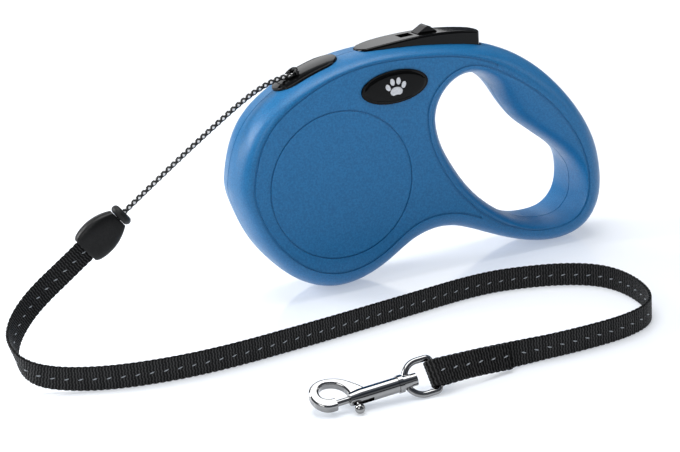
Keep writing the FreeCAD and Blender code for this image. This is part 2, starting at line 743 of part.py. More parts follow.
def connector_halves():
    """Bell-shaped clamp between cord and strap, split along its flat middle plane."""
    shape = [(0.0, 8.4, 5.0), (1.5, 10.2, 5.9), (4.5, 12.9, 6.8), (8.5, 14.9, 7.3), (12.0, 15.2, 7.3),
             (15.0, 14.4, 7.0), (17.0, 13.0, 6.4), (17.8, 11.6, 5.6)]
    bell = Part.makeLoft([rounded_section(*item) for item in shape], True, False)
    cord_bore = Part.makeCylinder(size("cord_diameter") / 2 + 0.05, 6.0, Vector(-1, 0, 0), Vector(1, 0, 0))
    knot_room = Part.makeSphere(2.0, Vector(5.2, 0, 0))
    slot = Part.makeBox(8.0, size("strap_width") + 0.1, size("strap_thickness") + 0.1,
                        Vector(10.4, -size("strap_width") / 2 - 0.05, -size("strap_thickness") / 2 - 0.05))
    bell = bell.cut([cord_bore, knot_room, slot])
    front = bell.common(Part.makeBox(40, 40, 20, Vector(-5, -20, -20)))
    back = bell.common(Part.makeBox(40, 40, 20, Vector(-5, -20, 0)))
    return front, back


def d_ring():
    """Wire ring with a straight bar and a bored boss for the swivel rivet."""
    top = 6.2
    along = Vector(1, 0, 0)
    edges = [
        Part.makeLine(Vector(0, 0, 0), Vector(0, top - 1.5, 0)),
        Part.Arc(Vector(0, top - 1.5, 0), Vector(0.44, top - 0.44, 0), Vector(1.5, top, 0)).toShape(),
        Part.makeLine(Vector(1.5, top, 0), Vector(5.0, top, 0)),
        Part.Arc(Vector(5.0, top, 0), Vector(5.0 + top * math.sin(math.pi / 4), top * math.cos(math.pi / 4), 0),
                 Vector(5.0 + top, 0, 0)).toShape(),
    ]
    section = Part.Wire(Part.makeCircle(size("ring_wire") / 2, Vector(0, 0, 0), ALONG_Y))
    half_ring = Part.Wire(edges).makePipeShell([section], True, True)
    other_half = half_ring.mirror(Vector(0, 0, 0), ALONG_Y)
    boss = Part.makeCylinder(2.5, 2.8, Vector(9.6, 0, 0), along)
    bore = Part.makeCylinder(size("rivet_radius") + 0.1, 8.0, Vector(7, 0, 0), along)
    return half_ring.fuse([other_half, boss]).cut(bore)


def hook_plate():
    """Flat cast hook with rounded edges: a loop from the shank round to the tip that takes the bolt."""
    half = size("snap_plate_half_thickness")
    outside = [(25.5, 1.5), (27.2, 3.9), (29.5, 6.3), (31.8, 8.3), (34.4, 9.6), (37.2, 10.4), (40.2, 10.4),
               (42.4, 9.6), (44.0, 8.2), (44.9, 6.2), (45.0, 3.8), (44.2, 1.4), (42.8, -0.5), (41.0, -1.7),
               (39.2, -2.1), (37.3, -2.1)]
    inside = [(37.3, 1.7), (38.8, 1.8), (40.2, 2.4), (41.3, 3.7), (41.5, 5.4), (40.8, 7.0), (39.2, 7.9),
              (37.1, 7.8), (34.8, 6.8), (33.0, 5.0), (32.1, 3.0), (31.9, 1.5)]
    outer_edge = Part.BSplineCurve()
    outer_edge.interpolate([Vector(x, y, -half) for x, y in outside])
    inner_edge = Part.BSplineCurve()
    inner_edge.interpolate([Vector(x, y, -half) for x, y in inside])
    foot = [inner_edge.EndPoint, Vector(29.0, 0.0, -half), outer_edge.StartPoint]
    lines = [Part.makeLine(a, b) for a, b in zip(foot, foot[1:])]
    tip = Part.makeLine(outer_edge.EndPoint, inner_edge.StartPoint)
    face = Part.Face(Part.Wire([outer_edge.toShape(), tip, inner_edge.toShape()] + lines))
    plate = face.extrude(Vector(0, 0, 2 * half))
    rims = [edge for edge in plate.Edges if abs(edge.CenterOfMass.z) > half - 0.01 and edge.Length > 5.0]
    return plate.makeFillet(size("snap_plate_fillet"), rims)


def snap_hook():
    """Cast snap: collar, bored shank with the stud's slot, and the hook."""
    along = Vector(1, 0, 0)
    shank_radius = size("snap_shank_radius")
    body = hook_plate().fuse([
        Part.makeCylinder(3.2, 1.7, Vector(12.5, 0, 0), along),
        Part.makeCylinder(shank_radius, 14.4, Vector(14.1, 0, 0), along),
        Part.makeCone(shank_radius, 2.3, 3.9, Vector(28.4, 0, 0), along),
    ])
    bolt_bore = size("snap_bolt_radius") + 0.1
    slot = Part.makeBox(7.6, 6.0, 1.9, Vector(24.2, -6.0, -0.95))
    return body.cut([
        Part.makeCylinder(size("rivet_radius") + 0.05, 3.0, Vector(12.0, 0, 0), along),
        Part.makeCylinder(bolt_bore, 16.0, Vector(19.0, 0, 0), along),
        Part.makeCylinder(bolt_bore, 3.0, Vector(36.8, 0, 0), along),
        slot,
    ])


def along_snap(x):
    """Placement on the snap's own axis with local Z pointing out along it."""
    turn = FreeCAD.Rotation(ALONG_Z, Vector(1, 0, 0))
    return SNAP_FRAME.multiply(FreeCAD.Placement(Vector(x, 0, 0), turn))


# ---------------------------------------------------------------- build every sub-part

front_shell, back_shell = shells()
add_shape("housing_front", front_shell)
add_shape("housing_back", back_shell)
add_shape("cord_outlet_plate", outlet_plate())
add_shape("outlet_eyelet", eyelet())
badge = badge_tool(0.0)
front_edge = min(badge.Edges, key=lambda edge: edge.CenterOfMass.y)
add_shape("oval_badge", badge.makeFillet(0.6, [front_edge]))
add_shape("housing_screws", screws())
add_shape("spool", spool())
add_shape("mainspring", mainspring())
add_shape("brake_button", brake_button())
add_shape("brake_pawl", brake_pawl())
add_shape("lock_slider", lock_slider())
spring_seat = FreeCAD.Placement(Vector(20, 0, 85.45), FreeCAD.Rotation())
add_shape("button_spring", coil(1.9, 0.4, 5.5 / 3, 5.5), spring_seat)
add_shape("cord_lead", round_tube(LEAD_CORNERS, size("cord_diameter") / 2, "cord_lead"))
add_shape("cord", round_tube(CORD_CORNERS, size("cord_diameter") / 2, "cord"))
connector_front, connector_back = connector_halves()
add_shape("connector_front", connector_front, CONNECTOR_FRAME)
add_shape("connector_back", connector_back, CONNECTOR_FRAME)
strap_stations = ribbon_stations(strap_corners(), strap_width_direction)
add_shape("strap", ribbon(strap_stations, size("strap_width"), size("strap_thickness")))
add_shape("strap_fold", ribbon(fold_stations(strap_stations), size("strap_width"), size("strap_thickness")))
add_shape("d_ring", d_ring(), RING_FRAME)
add_shape("snap_hook", snap_hook(), SNAP_FRAME)
add_shape("bolt_spring", coil(0.85, 0.2, 1.0, 5.0), along_snap(19.4))

reel_x = size("reel_x")
reel_z = size("reel_z")

axle_rod = primitive("Cylinder", "axle_rod", facing_y(reel_x, -13.6, reel_z), Radius="sizes.axle_radius")
axle_rod.Height = 27.2
arbor = primitive("Cylinder", "arbor", facing_y(reel_x, 1.0, reel_z), Radius="sizes.arbor_radius")
arbor.Height = 11.4
fuse_all("reel_axle", [axle_rod, arbor])

winding_ring = primitive("Cylinder", "winding_ring", facing_y(reel_x, -10.35, reel_z),
                         Radius="sizes.winding_radius")
winding_ring.Height = 9.5
winding_core = primitive("Cylinder", "winding_core", facing_y(reel_x, -11.0, reel_z),
                         Radius="sizes.hub_radius + 0.05")
winding_core.Height = 11.0
combine("Cut", "cord_winding", winding_ring, winding_core)

cover = new_body("spring_cover", facing_y(reel_x, 11.4, reel_z))
pad(cover, circle_sketch(cover, "cover_outline", "sizes.spring_case_radius"), "cover_pad",
    "sizes.cover_thickness")
pocket_through(cover, circle_sketch(cover, "cover_bore", "sizes.arbor_radius + 0.3"), "cover_hole")

washer = new_body("thrust_washer", facing_y(reel_x, -12.5, reel_z))
pad(washer, circle_sketch(washer, "washer_outline", "sizes.washer_radius"), "washer_pad",
    "sizes.washer_thickness")
pocket_through(washer, circle_sketch(washer, "washer_bore", "sizes.axle_radius + sizes.running_gap"),
               "washer_hole")

pin = primitive("Cylinder", "button_pivot_pin", facing_y(PIVOT.x, -9.5, PIVOT.z),
                Radius="sizes.pin_radius - 0.03")
pin.Height = 19.0

bumper_seat = CONNECTOR_FRAME.multiply(
    FreeCAD.Placement(Vector(-1.85, 0, 0), FreeCAD.Rotation(ALONG_Z, Vector(1, 0, 0))))
primitive("Torus", "cord_bumper", bumper_seat, Radius1="sizes.bumper_radius - sizes.bumper_wire_radius",
          Radius2="sizes.bumper_wire_radius")

knot_seat = CONNECTOR_FRAME.multiply(
    FreeCAD.Placement(Vector(0, 0, 0), FreeCAD.Rotation(ALONG_Z, Vector(1, 0, 0))))
cord_end = primitive("Cylinder", "cord_end", knot_seat, Radius="sizes.cord_diameter / 2")
cord_end.Height = 5.2
knot_ball = primitive("Sphere", "knot_ball",
                      CONNECTOR_FRAME.multiply(FreeCAD.Placement(Vector(5.2, 0, 0), FreeCAD.Rotation())))
knot_ball.Radius = 1.9
fuse_all("cord_knot", [cord_end, knot_ball])

rivet_head = primitive("Cylinder", "rivet_head", along_snap(7.2), Radius="sizes.rivet_head_radius")
rivet_head.Height = 2.3
rivet_shank = primitive("Cylinder", "rivet_shank", along_snap(8.0), Radius="sizes.rivet_radius")
rivet_shank.Height = 7.0
fuse_all("swivel_rivet", [rivet_head, rivet_shank])

bolt_rod = primitive("Cylinder", "bolt_rod", along_snap(24.9), Radius="sizes.snap_bolt_radius")
bolt_rod.Height = 14.6
stud_place = SNAP_FRAME.multiply(
    FreeCAD.Placement(Vector(30.4, -0.6, 0), FreeCAD.Rotation(Vector(1, 0, 0), 90)))
stud_socket = primitive("Cylinder", "stud_socket", stud_place, Radius="sizes.stud_neck_radius + 0.02")
stud_socket.Height = 3.0
combine("Cut", "snap_bolt", bolt_rod, stud_socket)

stud_neck = primitive("Cylinder", "stud_neck", stud_place, Radius="sizes.stud_neck_radius")
stud_neck.Height = 4.0
stud_ball = primitive("Sphere", "stud_ball",
                      SNAP_FRAME.multiply(FreeCAD.Placement(Vector(30.4, -4.8, 0), FreeCAD.Rotation())),
                      Radius="sizes.stud_ball_radius")
fuse_all("thumb_stud", [stud_neck, stud_ball])

doc.recompute()

SUB_PARTS = [
    "housing_front", "housing_back", "cord_outlet_plate", "outlet_eyelet", "oval_badge", "housing_screws",
    "reel_axle", "thrust_washer", "button_pivot_pin", "button_spring", "cord_lead", "spool", "cord_winding",
    "mainspring", "spring_cover", "brake_button", "brake_pawl", "lock_slider", "cord", "cord_bumper",
    "connector_front", "connector_back", "cord_knot", "strap", "strap_fold", "d_ring", "swivel_rivet",
    "snap_hook", "snap_bolt", "thumb_stud", "bolt_spring",
]


def check_and_write():
    for item in doc.Objects:
        if "Invalid" in item.State or "Error" in item.State:
            raise RuntimeError("%s did not recompute: %s" % (item.Name, item.State))
    os.makedirs("parts", exist_ok=True)
    for label in SUB_PARTS:
        item = doc.getObjectsByLabel(label)[0]
        shape = item.Shape
        if shape.isNull() or not shape.isValid():
            raise RuntimeError("%s has no valid shape" % label)
        box = shape.BoundBox
        print("%-18s solids %d volume %9.1f  x %.1f..%.1f  y %.1f..%.1f  z %.1f..%.1f" % (
            label, len(shape.Solids), shape.Volume, box.XMin, box.XMax, box.YMin, box.YMax, box.ZMin,
            box.ZMax))
        shape.exportStep("parts/%s.step" % label)


check_and_write()
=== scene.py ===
"""Looks of a retractable leash: moulded housing, glossy fittings, braided cord, woven strap and snap.

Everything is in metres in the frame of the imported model: X from reel to handle, Y from the badge side
to the screw side, Z up.
"""
import math

import bpy
from mathutils import Matrix, Vector


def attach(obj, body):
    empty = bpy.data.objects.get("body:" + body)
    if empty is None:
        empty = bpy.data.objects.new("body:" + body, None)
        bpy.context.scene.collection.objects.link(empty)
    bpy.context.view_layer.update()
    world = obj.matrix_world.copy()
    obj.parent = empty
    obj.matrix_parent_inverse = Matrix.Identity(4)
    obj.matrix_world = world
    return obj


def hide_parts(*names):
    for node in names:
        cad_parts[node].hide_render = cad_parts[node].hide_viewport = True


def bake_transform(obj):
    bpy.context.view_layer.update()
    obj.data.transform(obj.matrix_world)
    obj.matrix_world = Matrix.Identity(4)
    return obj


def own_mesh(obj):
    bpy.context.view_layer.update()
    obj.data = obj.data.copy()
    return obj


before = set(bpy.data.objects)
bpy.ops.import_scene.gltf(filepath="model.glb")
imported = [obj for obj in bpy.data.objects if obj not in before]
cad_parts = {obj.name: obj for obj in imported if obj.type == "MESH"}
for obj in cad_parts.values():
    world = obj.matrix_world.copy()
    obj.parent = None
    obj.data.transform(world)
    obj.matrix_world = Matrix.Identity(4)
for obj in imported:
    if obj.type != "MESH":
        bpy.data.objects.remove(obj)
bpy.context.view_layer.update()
MM = 0.001
UP = Vector((0, 0, 1))
ACROSS_REEL = Vector((0, 1, 0))


# ---------------------------------------------------------------- material building blocks

UNSTRETCHED = (1.0, 1.0, 1.0)


def start_material(name, colour, roughness, metallic=0.0):
    material = bpy.data.materials.new(name)
    material.use_nodes = True
    tree = material.node_tree
    shader = tree.nodes["Principled BSDF"]
    shader.inputs["Base Color"].default_value = (*colour, 1.0)
    shader.inputs["Roughness"].default_value = roughness
    shader.inputs["Metallic"].default_value = metallic
    return material, tree, shader


def place_vector(tree, stretch=UNSTRETCHED, uv=False):
    """Object coordinates in metres, or the piece's own UV in metres, stretched per axis."""
    coordinates = tree.nodes.new("ShaderNodeTexCoord")
    mapping = tree.nodes.new("ShaderNodeMapping")
    mapping.inputs["Scale"].default_value = stretch
    tree.links.new(coordinates.outputs["UV" if uv else "Object"], mapping.inputs["Vector"])
    return mapping.outputs["Vector"]


def noise(tree, scale, detail, stretch=UNSTRETCHED, uv=False):
    node = tree.nodes.new("ShaderNodeTexNoise")
    node.inputs["Scale"].default_value = scale
    node.inputs["Detail"].default_value = detail
    tree.links.new(place_vector(tree, stretch, uv), node.inputs["Vector"])
    return node.outputs["Fac"]


def ramp(tree, value, low, high, start=0.3, end=0.7):
    """Colours or greys from low to high as the value goes from start to end."""
    node = tree.nodes.new("ShaderNodeValToRGB")
    first, last = node.color_ramp.elements
    first.position, last.position = start, end
    first.color, last.color = (*low, 1.0), (*high, 1.0)
    tree.links.new(value, node.inputs["Fac"])
    return node.outputs["Color"]


def grey(value):
    return (value, value, value)


def add_bump(tree, shader, heights):
    """Stacks bump layers: a list of (height output, strength, distance in metres)."""
    normal = None
    for height, strength, distance in heights:
        node = tree.nodes.new("ShaderNodeBump")
        node.inputs["Strength"].default_value = strength
        node.inputs["Distance"].default_value = distance
        tree.links.new(height, node.inputs["Height"])
        if normal is not None:
            tree.links.new(normal, node.inputs["Normal"])
        normal = node.outputs["Normal"]
    tree.links.new(normal, shader.inputs["Normal"])


# ---------------------------------------------------------------- materials

# Noise scales are in cells per metre, bump depths in metres.
MOTTLE_SCALE = 1500.0
HANDLING_SCALE = 260.0
GRAIN_SCALE = 2800.0
GRAIN_DEPTH = 0.08 * MM
SINK_SCALE = 60.0
SINK_STRENGTH = 0.02
SINK_DEPTH = 0.4 * MM

POLISH_SCALE = 900.0
POLISH_DEPTH = 0.01 * MM
TINT_SCALE = 350.0
TINT_SHADE = 0.9
CASTING_SCALE = 160.0
CASTING_STRENGTH = 0.05
CASTING_DEPTH = 0.1 * MM

YARN_THREADS = (6500.0, 700.0, 1.0)
YARN_BUMP = 0.6
YARN_DEPTH = 0.06 * MM
YARN_SHEEN_ROUGHNESS = 0.4

WEBBING_THREADS = (5200.0, 1300.0, 1.0)
WEBBING_THREAD_BUMP = 0.55
WEBBING_THREAD_DEPTH = 0.08 * MM
WEBBING_CROSSING = (700.0, 6000.0, 1.0)
WEBBING_CROSSING_BUMP = 0.3
WEBBING_CROSSING_DEPTH = 0.05 * MM
WEBBING_ROUGHNESS = (0.34, 0.52)


def moulded_plastic(name, dark, light, roughness, grain, specular=0.5):
    """Injection-moulded plastic: faint mottling, uneven gloss and a fine spark-eroded grain."""
    smooth, rough = roughness
    material, tree, shader = start_material(name, light, rough)
    mottle = noise(tree, MOTTLE_SCALE, 5.0)
    tree.links.new(ramp(tree, mottle, dark, light, 0.35, 0.65), shader.inputs["Base Color"])
    handling = noise(tree, HANDLING_SCALE, 4.0)
    tree.links.new(ramp(tree, handling, grey(smooth), grey(rough)), shader.inputs["Roughness"])
    shader.inputs["Specular IOR Level"].default_value = specular
    add_bump(tree, shader, [
        (noise(tree, GRAIN_SCALE, 3.0), grain, GRAIN_DEPTH),
        (noise(tree, SINK_SCALE, 1.0), SINK_STRENGTH, SINK_DEPTH),
    ])
    return material


def worn_metal(name, colour, roughness, stretch, wear):
    """Plated or drawn metal with fine polishing lines and shallow casting waves."""
    smooth, rough = roughness
    material, tree, shader = start_material(name, colour, smooth, 1.0)
    lines = noise(tree, POLISH_SCALE, 3.0, stretch)
    tree.links.new(ramp(tree, lines, grey(smooth), grey(rough)), shader.inputs["Roughness"])
    tint = noise(tree, TINT_SCALE, 2.0)
    darker = tuple(channel * TINT_SHADE for channel in colour)
    tree.links.new(ramp(tree, tint, darker, colour), shader.inputs["Base Color"])
    add_bump(tree, shader, [
        (lines, wear, POLISH_DEPTH),
        (noise(tree, CASTING_SCALE, 1.0), CASTING_STRENGTH, CASTING_DEPTH),
    ])
    return material


def fibre(name, dark, light, roughness, sheen):
    """Filament yarn: fine threads along the strand, read from the strand's own UV."""
    material, tree, shader = start_material(name, light, roughness)
    threads = noise(tree, 1.0, 3.0, YARN_THREADS, uv=True)
    tree.links.new(ramp(tree, threads, dark, light), shader.inputs["Base Color"])
    shader.inputs["Sheen Weight"].default_value = sheen
    shader.inputs["Sheen Roughness"].default_value = YARN_SHEEN_ROUGHNESS
    add_bump(tree, shader, [(threads, YARN_BUMP, YARN_DEPTH)])
    return material


def woven_nylon(name, dark, light, specular):
    """Woven black nylon, made twice: a dark copy for the furrows and a lighter copy for the thread crests,
    whose lighter tone is a painted highlight.
    """
    smooth, rough = WEBBING_ROUGHNESS
    material, tree, shader = start_material(name, light, 0.45)
    threads = noise(tree, 1.0, 3.0, WEBBING_THREADS, uv=True)
    crossing = noise(tree, 1.0, 2.0, WEBBING_CROSSING, uv=True)
    tree.links.new(ramp(tree, threads, dark, light), shader.inputs["Base Color"])
    tree.links.new(ramp(tree, crossing, grey(smooth), grey(rough)), shader.inputs["Roughness"])
    shader.inputs["Specular IOR Level"].default_value = specular
    add_bump(tree, shader, [
        (threads, WEBBING_THREAD_BUMP, WEBBING_THREAD_DEPTH),
        (crossing, WEBBING_CROSSING_BUMP, WEBBING_CROSSING_DEPTH),
    ])
    return material


BLUE = moulded_plastic("housing_blue_plastic", (0.009, 0.132, 0.325), (0.015, 0.180, 0.420),
                       roughness=(0.28, 0.38), grain=1.0, specular=0.36)
GLOSS = moulded_plastic("gloss_black_plastic", grey(0.002), grey(0.004),
                        roughness=(0.07, 0.11), grain=0.02, specular=0.18)
BADGE = moulded_plastic("badge_black_plastic", grey(0.002), grey(0.003),
                        roughness=(0.04, 0.06), grain=0.01, specular=0.14)
MATTE = moulded_plastic("matte_black_plastic", grey(0.004), grey(0.008),
                        roughness=(0.30, 0.42), grain=0.6, specular=0.24)
RUBBER = moulded_plastic("black_rubber", grey(0.006), grey(0.010),
                         roughness=(0.40, 0.52), grain=0.4, specular=0.25)
INNER = moulded_plastic("inner_pale_plastic", (0.50, 0.50, 0.48), (0.58, 0.58, 0.56),
                        roughness=(0.45, 0.55), grain=0.3)
PALE = moulded_plastic("badge_paw_silver", (0.62, 0.63, 0.65), (0.74, 0.75, 0.77),
                       roughness=(0.22, 0.30), grain=0.15)
CHROME = worn_metal("chrome_plate", (0.30, 0.298, 0.295),
                    roughness=(0.03, 0.07), stretch=UNSTRETCHED, wear=0.05)
STEEL = worn_metal("bright_zinc_steel", (0.55, 0.56, 0.58),
                   roughness=(0.22, 0.38), stretch=(0.2, 1.0, 1.0), wear=0.2)
YARN_DARK = fibre("cord_yarn_black", grey(0.004), grey(0.014), roughness=0.6, sheen=0.05)
YARN_PALE = fibre("cord_yarn_white", grey(0.86), grey(0.97), roughness=0.5, sheen=0.4)
REFLECTIVE = fibre("reflective_yarn", (0.20, 0.22, 0.24), (0.42, 0.45, 0.48), roughness=0.35, sheen=0.1)
WEBBING = woven_nylon("woven_webbing_black", grey(0.001), grey(0.004), specular=0.12)
# Lighter copy of the strap's black nylon: a painted highlight for the rib crests.
WEBBING_PAINTED_HIGHLIGHT = woven_nylon("woven_webbing_crest_painted_highlight", grey(0.008), grey(0.036), specular=0.34)

NODE_FINISH = {
    "housing_front": BLUE, "housing_back": BLUE, "cord_outlet_plate": GLOSS, "outlet_eyelet": GLOSS,
    "oval_badge": BADGE, "housing_screws": STEEL, "reel_axle": STEEL, "thrust_washer": INNER,
    "button_pivot_pin": STEEL, "button_spring": STEEL, "cord_lead": YARN_DARK, "spool": INNER,
    "cord_winding": YARN_DARK, "mainspring": STEEL, "spring_cover": INNER, "brake_button": GLOSS,
    "brake_pawl": MATTE, "lock_slider": GLOSS, "cord": YARN_DARK, "cord_bumper": RUBBER,
    "connector_front": MATTE, "connector_back": MATTE, "cord_knot": YARN_DARK, "strap": WEBBING,
    "strap_fold": WEBBING, "d_ring": CHROME, "swivel_rivet": CHROME, "snap_hook": CHROME,
    "snap_bolt": CHROME, "thumb_stud": CHROME, "bolt_spring": STEEL,
}
for node_name, finish in NODE_FINISH.items():
    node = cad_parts[node_name]
    node.data.materials.clear()
    node.data.materials.append(finish)


# ---------------------------------------------------------------- mesh building blocks

ROUTE_RESOLUTION = 40
ROUND_SIDES = 8
UV_COLUMN_STEP = 0.3 * MM


def new_piece(name, vertices, faces, materials, smooth=True, uvs=None, slots=None):
    mesh = bpy.data.meshes.new(name)
    mesh.from_pydata([tuple(v) for v in vertices], [], faces)
    for material in materials:
        mesh.materials.append(material)
    for index, polygon in enumerate(mesh.polygons):
        polygon.use_smooth = smooth
        if slots is not None:
            polygon.material_index = slots[index]
    if uvs is not None:
        layer = mesh.uv_layers.new(name="weave")
        for loop in mesh.loops:
            layer.data[loop.index].uv = uvs[loop.vertex_index]
    mesh.validate()
    mesh.update()
    piece = bpy.data.objects.new(name, mesh)
    bpy.context.scene.collection.objects.link(piece)
    return piece


def route_points(corners):
    """Dense points of the smooth NURBS line whose control points are the route's corners."""
    curve = bpy.data.curves.new("route", "CURVE")
    curve.dimensions = "3D"
    spline = curve.splines.new("NURBS")
    spline.points.add(len(corners) - 1)
    for point, corner in zip(spline.points, corners):
        point.co = (*corner, 1.0)
    spline.order_u = 3
    spline.use_endpoint_u = True
    spline.resolution_u = ROUTE_RESOLUTION
    holder = bpy.data.objects.new("route", curve)
    bpy.context.scene.collection.objects.link(holder)
    bpy.context.view_layer.update()
    evaluated = holder.evaluated_get(bpy.context.evaluated_depsgraph_get())
    mesh = bpy.data.meshes.new_from_object(evaluated)
    points = [vertex.co.copy() for vertex in mesh.vertices]
    bpy.data.objects.remove(holder)
    bpy.data.curves.remove(curve)
    bpy.data.meshes.remove(mesh)
    return points


def even_line(corners, step):
    """The route's points about a step apart, the exact spacing between them and the line's length."""
    points = route_points(corners)
    lengths = [0.0]
    for a, b in zip(points, points[1:]):
        lengths.append(lengths[-1] + (b - a).length)
    length = lengths[-1]
    count = max(2, round(length / step))
    spaced = []
    index = 0
    for i in range(count + 1):
        target = length * i / count
        while index < len(points) - 2 and lengths[index + 1] < target:
            index += 1
        span = lengths[index + 1] - lengths[index]
        share = (target - lengths[index]) / span if span > 0 else 0.0
        spaced.append(points[index].lerp(points[index + 1], share))
    return spaced, length / count, length


def tangent_at(points, i):
    return (points[min(i + 1, len(points) - 1)] - points[max(i - 1, 0)]).normalized()


def carried_frames(points, first_side):
    """A side direction at every point that turns as little as the line allows."""
    frames = []
    side = first_side
    for i, point in enumerate(points):
        ahead = tangent_at(points, i)
        side = (side - ahead * side.dot(ahead)).normalized()
        frames.append((point, ahead, side, ahead.cross(side)))
    return frames


class MeshParts:
    """Collects tubes that become one mesh."""

    def __init__(self):
        self.vertices = []
        self.faces = []
        self.uvs = []
        self.slots = []

    def tube(self, rings, slot=0, spacing=MM):
        """Joins rings of points into a closed tube; UV runs round and along it, in metres."""
        base = len(self.vertices)
        count = len(rings[0])
        for row, ring in enumerate(rings):
            for column, point in enumerate(ring):
                self.vertices.append(point)
                self.uvs.append((column * UV_COLUMN_STEP, row * spacing))
        for row in range(len(rings) - 1):
            for column in range(count):
                a = base + row * count + column
                b = base + row * count + (column + 1) % count
                self.faces.append((a, b, b + count, a + count))
                self.slots.append(slot)
        last = base + (len(rings) - 1) * count
        self.faces.append(tuple(base + i for i in reversed(range(count))))
        self.faces.append(tuple(last + i for i in range(count)))
        self.slots += [slot, slot]

    def piece(self, name, materials):
        return new_piece(name, self.vertices, self.faces, materials, uvs=self.uvs, slots=self.slots)


def oval_ring(centre, wide_axis, high_axis, half_width, half_height):
    ring = []
    for i in range(ROUND_SIDES):
        angle = 2 * math.pi * i / ROUND_SIDES
        ring.append(centre + wide_axis * (half_width * math.cos(angle))
                    + high_axis * (half_height * math.sin(angle)))
    return ring


# ---------------------------------------------------------------- camera, floor and light

TARGET = Vector((-0.03835, 0.0, 0.0245))
CAMERA_BACK = Vector((-0.33695, -0.88472, 0.32210))
CAMERA_RIGHT = Vector((0.92209, -0.37925, -0.07708))
CAMERA_UP = Vector((0.19035, 0.27103, 0.94358))
CAMERA_DISTANCE = 0.6
LENS_MM = 75.23
SENSOR_MM = 36.0
CLIP_START = 0.01
CLIP_END = 60.0

# Name, place, point aimed at, width, height and power in watts.
SOFTBOXES = (
    ("top_softbox", (-0.05, 0.15, 1.15), (-0.04, 0, 0.0), 1.0, 0.8, 10.5),
    ("front_left_softbox", (-0.85, -0.75, 0.70), (-0.02, 0, 0.04), 0.45, 0.75, 3.8),
    ("rear_panel", (0.10, 1.30, 0.55), (0.0, 0, 0.05), 1.4, 0.5, 2.2),
    ("left_rim_light", (-0.80, 0.45, 0.45), (-0.08, 0, 0.05), 0.30, 0.6, 6.5),
    ("right_strip", (0.95, -0.35, 0.55), (0.02, 0, 0.05), 0.25, 0.8, 1.4),
)
# Colour of the surround by the height of the view direction; the two ends come first.
SURROUND = (
    (0.0, (0.035, 0.04, 0.05)), (1.0, (0.60, 0.64, 0.70)),
    (0.16, (0.03, 0.035, 0.045)), (0.30, (0.42, 0.44, 0.47)), (0.46, (0.30, 0.32, 0.35)),
    (0.60, (0.05, 0.055, 0.07)), (0.78, (0.10, 0.12, 0.16)),
)
SURROUND_STRENGTH = 0.8
FLOOR_REACH = 14.0
FLOOR_COLOUR = (0.70, 0.72, 0.75)
FLOOR_GLOW_COLOUR = (0.93, 0.96, 1.0)
FLOOR_GLOW = (0.38, 0.80)
FLOOR_GLOW_FROM = 0.12
FLOOR_GLOW_TO = 0.8
FLOOR_ROUGHNESS = (0.10, 0.13)
FLOOR_CLOUD_SCALE = 25.0


def make_camera():
    data = bpy.data.cameras.new("camera")
    data.sensor_width = SENSOR_MM
    data.lens = LENS_MM
    data.clip_start = CLIP_START
    data.clip_end = CLIP_END
    camera = bpy.data.objects.new("camera", data)
    place = TARGET + CAMERA_BACK * CAMERA_DISTANCE
    rotation = Matrix((CAMERA_RIGHT, CAMERA_UP, CAMERA_BACK)).transposed().to_4x4()
    camera.matrix_world = Matrix.Translation(place) @ rotation
    bpy.context.scene.collection.objects.link(camera)
    bpy.context.scene.camera = camera


def area_light(name, place, target, width, height, power):
    data = bpy.data.lights.new(name, "AREA")
    data.shape = "RECTANGLE"
    data.size = width
    data.size_y = height
    data.energy = power
    light = bpy.data.objects.new(name, data)
    light.location = place
    light.rotation_euler = (Vector(target) - Vector(place)).to_track_quat("-Z", "Y").to_euler()
    bpy.context.scene.collection.objects.link(light)


def make_world():
    """Soft surround with pale and dark bands, so that gloss and chrome have something to show."""
    world = bpy.data.worlds.new("studio")
    bpy.context.scene.world = world
    world.use_nodes = True
    tree = world.node_tree
    background = tree.nodes["Background"]
    coordinates = tree.nodes.new("ShaderNodeTexCoord")
    split = tree.nodes.new("ShaderNodeSeparateXYZ")
    tree.links.new(coordinates.outputs["Generated"], split.inputs["Vector"])
    bands = tree.nodes.new("ShaderNodeValToRGB")
    stops = bands.color_ramp.elements
    for index, (height, colour) in enumerate(SURROUND):
        stop = stops[index] if index < 2 else stops.new(height)
        stop.color = (*colour, 1.0)
    tree.links.new(split.outputs["Z"], bands.inputs["Fac"])
    tree.links.new(bands.outputs["Color"], background.inputs["Color"])
    background.inputs["Strength"].default_value = SURROUND_STRENGTH


def make_floor():
    """Pale, slightly glossy floor that glows more strongly away from the object."""
    near_glow, far_glow = FLOOR_GLOW
    smooth, rough = FLOOR_ROUGHNESS
    material, tree, shader = start_material("pale_floor", FLOOR_COLOUR, 0.2)
    shader.inputs["Specular IOR Level"].default_value = 0.5
    shader.inputs["Emission Color"].default_value = (*FLOOR_GLOW_COLOUR, 1.0)
    far = tree.nodes.new("ShaderNodeVectorMath")
    far.operation = "LENGTH"
    tree.links.new(place_vector(tree), far.inputs[0])
    glow = ramp(tree, far.outputs["Value"], grey(near_glow), grey(far_glow), FLOOR_GLOW_FROM, FLOOR_GLOW_TO)
    tree.links.new(glow, shader.inputs["Emission Strength"])
    cloud = noise(tree, FLOOR_CLOUD_SCALE, 2.0)
    tree.links.new(ramp(tree, cloud, grey(smooth), grey(rough)), shader.inputs["Roughness"])
    corners = [(x * FLOOR_REACH, y * FLOOR_REACH, 0) for x, y in ((-1, -1), (1, -1), (1, 1), (-1, 1))]
    floor = new_piece("studio_floor", corners, [(0, 1, 2, 3)], [material], smooth=False)


def make_studio():
    make_camera()
    make_world()
    for softbox in SOFTBOXES:
        area_light(*softbox)
    make_floor()
    view = bpy.context.scene.view_settings
    view.view_transform = "Standard"
    view.look = "None"


make_studio()


# ---------------------------------------------------------------- braided cord

